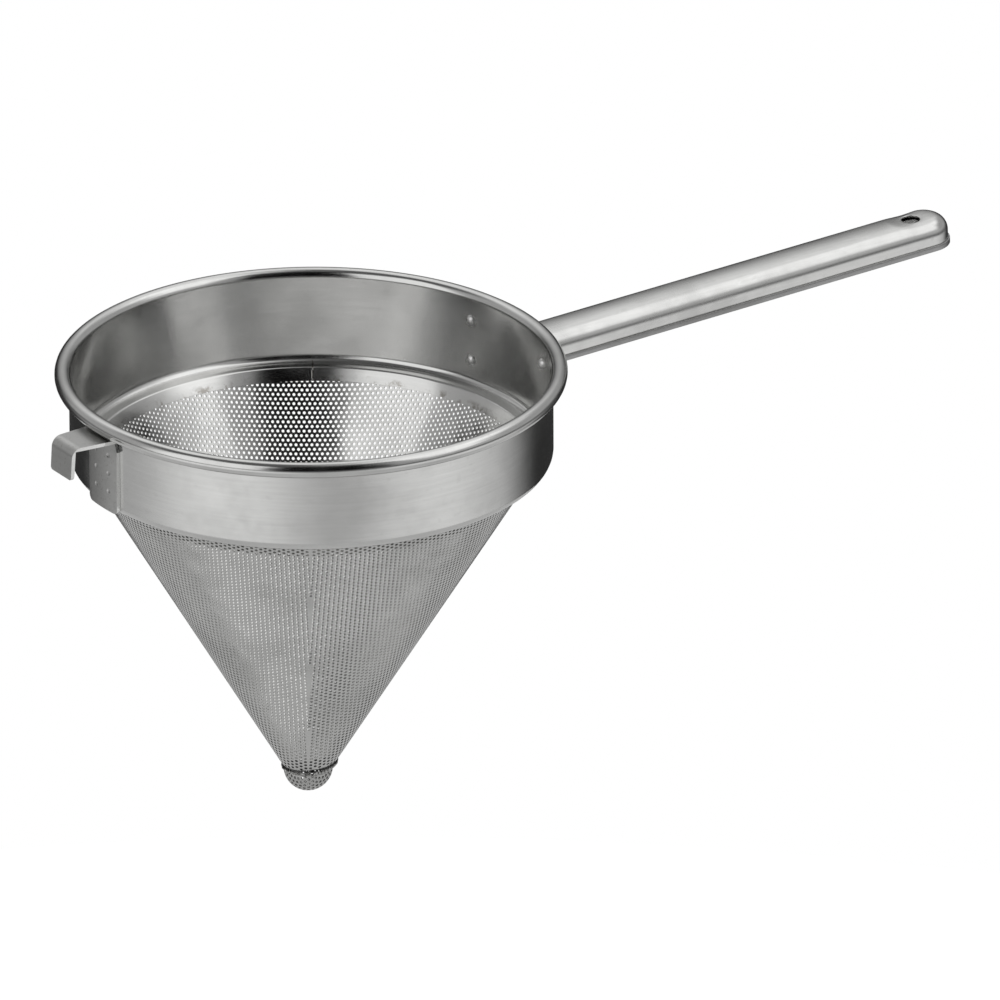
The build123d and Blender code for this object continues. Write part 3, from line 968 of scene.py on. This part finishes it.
def make_handle_steel(name, colour, roughness, smudge):
    """Lengthwise satin, along the tilted handle."""
    finish = drawn_steel(
        name,
        colour,
        roughness,
        stretch=(1, 14, 14),
        fineness=260.0,
        grain_height=0.0016 * MM,
        smudge=smudge,
        scratch=0.35,
        turn=(0, HANDLE_TILT, 0),
    )
    finish.raise_by(noise(finish.tree, finish.place, scale=45.0, detail=1), 0.12 * MM)
    return finish.finished()


def make_hook_steel():
    """Rolled strip, with its grain across and small dark pits."""
    finish = drawn_steel(
        "rolled_hook_steel",
        colour=(0.58, 0.58, 0.57),
        roughness=0.26,
        stretch=(1, 1, 8),
        fineness=320.0,
        grain_height=0.002 * MM,
        smudge=0.7,
        scratch=0.35,
    )
    pit_noise = noise(finish.tree, finish.place, scale=900.0, detail=2)
    finish.tone(ramp(finish.tree, pit_noise, low=0.6, high=0.72), STAIN, amount=0.35)
    return finish.finished()


def make_sheared_and_highlight_steel():
    """Pale steel for the hook strip's sheared edges, brighter than the strip with a painted
    highlight on them, and for the hang hole's collar, made pale as a painted highlight.
    """
    finish = drawn_steel(
        "sheared_edge_and_highlight_steel",
        colour=(0.9, 0.9, 0.89),
        roughness=0.2,
        stretch=(1, 1, 1),
        fineness=420.0,
        grain_height=0.002 * MM,
        smudge=0.2,
    )
    return finish.finished()


def make_weld_steel():
    """Brushed weld: ripples and straw and grey heat tint."""
    finish = drawn_steel(
        "brushed_weld_steel",
        colour=(0.55, 0.53, 0.5),
        roughness=0.32,
        stretch=(1, 1, 1),
        fineness=500.0,
        grain_height=0.01 * MM,
        smudge=0.8,
    )
    finish.raise_by(noise(finish.tree, finish.place, scale=420.0, detail=2), 0.25 * MM)
    tint_noise = noise(finish.tree, finish.place, scale=160.0, detail=3)
    finish.tone(ramp(finish.tree, tint_noise, low=0.45, high=0.6), STRAW, amount=0.6)
    return finish.finished()


def make_rivet_steel():
    """Bright rivet heads with small marks of the setting tool."""
    finish = drawn_steel(
        "bright_rivet_steel",
        colour=(0.8, 0.8, 0.79),
        roughness=0.3,
        stretch=(1, 1, 1),
        fineness=500.0,
        grain_height=0.002 * MM,
        smudge=0.4,
    )
    finish.raise_by(noise(finish.tree, finish.place, scale=600.0, detail=1), 0.05 * MM)
    return finish.finished()


def make_wire_steel():
    """The drawn wire of the hoop."""
    finish = drawn_steel(
        "drawn_wire_steel",
        colour=(0.6, 0.6, 0.59),
        roughness=0.25,
        stretch=(1, 1, 20),
        fineness=200.0,
        grain_height=0.001 * MM,
    )
    return finish.finished()


def make_saddle_steel():
    """The pressed plate that the handle stands on."""
    finish = drawn_steel(
        "pressed_saddle_steel",
        colour=(0.62, 0.62, 0.61),
        roughness=0.22,
        stretch=(1, 1, 10),
        fineness=260.0,
        grain_height=0.002 * MM,
    )
    return finish.finished()


sheared_and_highlight_steel = make_sheared_and_highlight_steel()
cone_steel = make_cone_steel()
hole_shade_steel = make_hole_shade_steel()
make_band([make_band_steel()])
# The cone's hole walls take the near-black steel of painted shade.
make_cone([cone_steel, hole_shade_steel])
# The cap's hole walls and inside take the near-black steel of painted shade.
make_cap([make_cap_steel(), hole_shade_steel])
satin_steel = make_handle_steel("satin_handle_steel", (0.68, 0.68, 0.67), roughness=0.15, smudge=0.4)
make_shell([satin_steel])
ground_steel = make_handle_steel("ground_tray_steel", (0.42, 0.42, 0.42), roughness=0.34, smudge=0.8)
make_tray([ground_steel, sheared_and_highlight_steel])
wire = remake("rim_wire", "hoop_wire", 0)
finish_piece(wire, [make_wire_steel()], "wire_steel", "rim_wire")
bracket = remake("handle_bracket", "handle_saddle", 0.25 * MM)
finish_piece(bracket, [make_saddle_steel()], "bracket_steel", "handle_bracket")
rivets = remake("bracket_rivets", "saddle_rivets", 0)
finish_piece(rivets, [make_rivet_steel()], "rivet_steel", "bracket_rivets")
weld = remake("handle_weld", "root_weld", 0.4 * MM)
finish_piece(weld, [make_weld_steel()], "weld_steel", "handle_weld")
hook = remake("pan_hook", "pan_rest_hook", 0.2 * MM)
smooth(hook, degrees=20)
# Sideways faces, the sheared edges, take the pale steel with its painted highlight.
for face in hook.data.polygons:
    face.material_index = int(abs(face.normal.y) > EDGE_FACING)
finish_piece(hook, [make_hook_steel(), sheared_and_highlight_steel], "hook_steel", "pan_hook")


# Studio panels, as the strainer sees them: azimuth from the camera's own side, elevation, half
# width, half height, softness of the sides and of the top, all in degrees, and brightness. A later
# panel covers an earlier one.
STUDIO_BASE = 0.12
STUDIO_PANELS = [
    ("low surround", 0, -24, 116, 14, 14, 5, 0.5),
    ("low left light", -42, -24, 30, 14, 30, 5, 1.03),
    ("low right light", 62, -25, 30, 12, 30, 4, 0.92),
    ("low rear card", 180, -14, 50, 24, 10, 8, 0.03),
    ("left wall", -98, 22, 34, 22, 8, 8, 0.45),
    ("left softbox", -47, 26, 27, 28, 5, 6, 1.1),
    ("front card", 8, 36, 28, 30, 4, 4, 0.0),
    ("right wall", 47, 28, 12, 24, 5, 5, 0.4),
    ("back wall", 180, 27, 70, 13, 10, 12, 0.42),
    ("high rear light", 180, 52, 50, 21, 20, 12, 1.0),
    ("high right softbox", 98, 48, 44, 32, 8, 24, 1.35),
    ("right card", 86, 16, 32, 9, 8, 5, 0.55),
    ("right rear card", 121, 24, 31, 17, 12, 10, 0.42),
]
TENT_RADIUS = 3.0
TENT_SEGMENTS = 48
TENT_RINGS = 24
FLOOR_Z = -0.75
FLOOR_RADIUS = 1.15
FLOOR_SIDES = 96
FLOOR_GLOW = 0.92
FLOOR_REFLECTED = 0.42
FLOOR_PAINT = 0.3
WORLD_LIGHT = 0.6
WORLD_SEEN = 1.0


def seen_ray(tree, *kinds):
    """1 where one of these kinds of ray arrives."""
    path = tree.nodes.new("ShaderNodeLightPath")
    seen = path.outputs[kinds[0]]
    for kind in kinds[1:]:
        seen = calc(tree, "MAXIMUM", seen, path.outputs[kind])
    return seen


def emission_only(name):
    """A new material's tree with an Emission node at its output, and that node."""
    material = bpy.data.materials.new(name)
    material.use_nodes = True
    tree = material.node_tree
    tree.nodes.clear()
    emission = tree.nodes.new("ShaderNodeEmission")
    output = tree.nodes.new("ShaderNodeOutputMaterial")
    tree.links.new(emission.outputs[0], output.inputs["Surface"])
    return material, tree, emission


def make_tent():
    """A round tent of soft lights and dark cards, which only reflections and light see."""
    bpy.ops.object.select_all(action="DESELECT")
    bpy.ops.mesh.primitive_uv_sphere_add(
        segments=TENT_SEGMENTS, ring_count=TENT_RINGS, radius=TENT_RADIUS
    )
    tent = bpy.context.object
    tent.name = "light_tent"
    material, tree, emission = emission_only("light_tent")
    place = tree.nodes.new("ShaderNodeTexCoord")
    unit = tree.nodes.new("ShaderNodeVectorMath")
    unit.operation = "NORMALIZE"
    tree.links.new(place.outputs["Object"], unit.inputs[0])
    split = tree.nodes.new("ShaderNodeSeparateXYZ")
    tree.links.new(unit.outputs[0], split.inputs[0])
    azimuth = calc(tree, "ARCTAN2", split.outputs["Y"], split.outputs["X"])
    elevation = calc(tree, "ARCSINE", split.outputs["Z"])
    level = STUDIO_BASE
    for panel in STUDIO_PANELS:
        _, around, above, half_width, half_height, soft_sides, soft_top, brightness = panel
        offset = calc(tree, "SUBTRACT", azimuth, FRONT + math.radians(around))
        offset = calc(tree, "WRAP", offset, math.pi, -math.pi)
        rise = calc(tree, "SUBTRACT", elevation, math.radians(above))
        mask = 1
        bounds = ((offset, half_width, soft_sides), (rise, half_height, soft_top))
        for distance, half, softness in bounds:
            edge = tree.nodes.new("ShaderNodeMapRange")
            edge.interpolation_type = "SMOOTHSTEP"
            edge.inputs["From Min"].default_value = math.radians(half + softness)
            edge.inputs["From Max"].default_value = math.radians(half - softness)
            tree.links.new(calc(tree, "ABSOLUTE", distance), edge.inputs["Value"])
            mask = calc(tree, "MULTIPLY", mask, edge.outputs["Result"])
        blend = tree.nodes.new("ShaderNodeMix")
        tree.links.new(mask, blend.inputs[0])
        if isinstance(level, float):
            blend.inputs[NUMBER_UNDER].default_value = level
        else:
            tree.links.new(level, blend.inputs[NUMBER_UNDER])
        blend.inputs[NUMBER_OVER].default_value = brightness
        level = blend.outputs[0]
    tree.links.new(level, emission.inputs["Strength"])
    tent.data.materials.append(material)
    tent.visible_camera = False


def make_floor():
    """A plain pale floor, well below the tip, which is white to the camera but for the shadow."""
    bpy.ops.object.select_all(action="DESELECT")
    bpy.ops.mesh.primitive_circle_add(
        vertices=FLOOR_SIDES, radius=FLOOR_RADIUS, fill_type="NGON", location=(0, 0, FLOOR_Z)
    )
    floor = bpy.context.object
    floor.name = "floor"
    material, tree, emission = emission_only("pale_floor")
    emission.inputs["Color"].default_value = (1, 1, 1, 1)
    seen = seen_ray(tree, "Is Camera Ray", "Is Transmission Ray")
    glow = calc(tree, "MULTIPLY", seen, FLOOR_GLOW)
    reflected = calc(tree, "MULTIPLY", seen_ray(tree, "Is Glossy Ray"), FLOOR_REFLECTED)
    tree.links.new(calc(tree, "MAXIMUM", glow, reflected), emission.inputs["Strength"])
    paint = tree.nodes.new("ShaderNodeBsdfDiffuse")
    paint.inputs["Color"].default_value = (FLOOR_PAINT, FLOOR_PAINT, FLOOR_PAINT, 1)
    both = tree.nodes.new("ShaderNodeAddShader")
    tree.links.new(paint.outputs[0], both.inputs[0])
    tree.links.new(emission.outputs[0], both.inputs[1])
    tree.links.new(both.outputs[0], tree.nodes["Material Output"].inputs["Surface"])
    floor.data.materials.append(material)


def make_world():
    """White where the camera or a reflection sees it, and a softer white as light."""
    world = bpy.data.worlds.new("studio")
    bpy.context.scene.world = world
    world.use_nodes = True
    tree = world.node_tree
    background = tree.nodes["Background"]
    background.inputs["Color"].default_value = (1, 1, 1, 1)
    level = tree.nodes.new("ShaderNodeMapRange")
    level.inputs["To Min"].default_value = WORLD_LIGHT
    level.inputs["To Max"].default_value = WORLD_SEEN
    seen = seen_ray(tree, "Is Camera Ray", "Is Glossy Ray", "Is Transmission Ray")
    tree.links.new(seen, level.inputs["Value"])
    tree.links.new(level.outputs["Result"], background.inputs["Strength"])


make_world()
make_tent()
make_floor()

camera_data = bpy.data.cameras.new("camera")
camera = bpy.data.objects.new("camera", camera_data)
bpy.context.scene.collection.objects.link(camera)
bpy.context.scene.camera = camera
camera_data.sensor_width = CAMERA_SENSOR
camera_data.lens = CAMERA_LENS
back = Vector((
    math.sin(CAMERA_AZIMUTH) * math.cos(CAMERA_ELEVATION),
    -math.cos(CAMERA_AZIMUTH) * math.cos(CAMERA_ELEVATION),
    math.sin(CAMERA_ELEVATION),
))
right = Matrix.Rotation(CAMERA_ROLL, 3, back) @ ACROSS
up = back.cross(right)
camera.location = back * CAMERA_DISTANCE + right * ORIGIN_LEFT - up * ORIGIN_ABOVE
camera.rotation_euler = Matrix((right, up, back)).transposed().to_euler()

scene = bpy.context.scene
scene.view_settings.view_transform = "Standard"
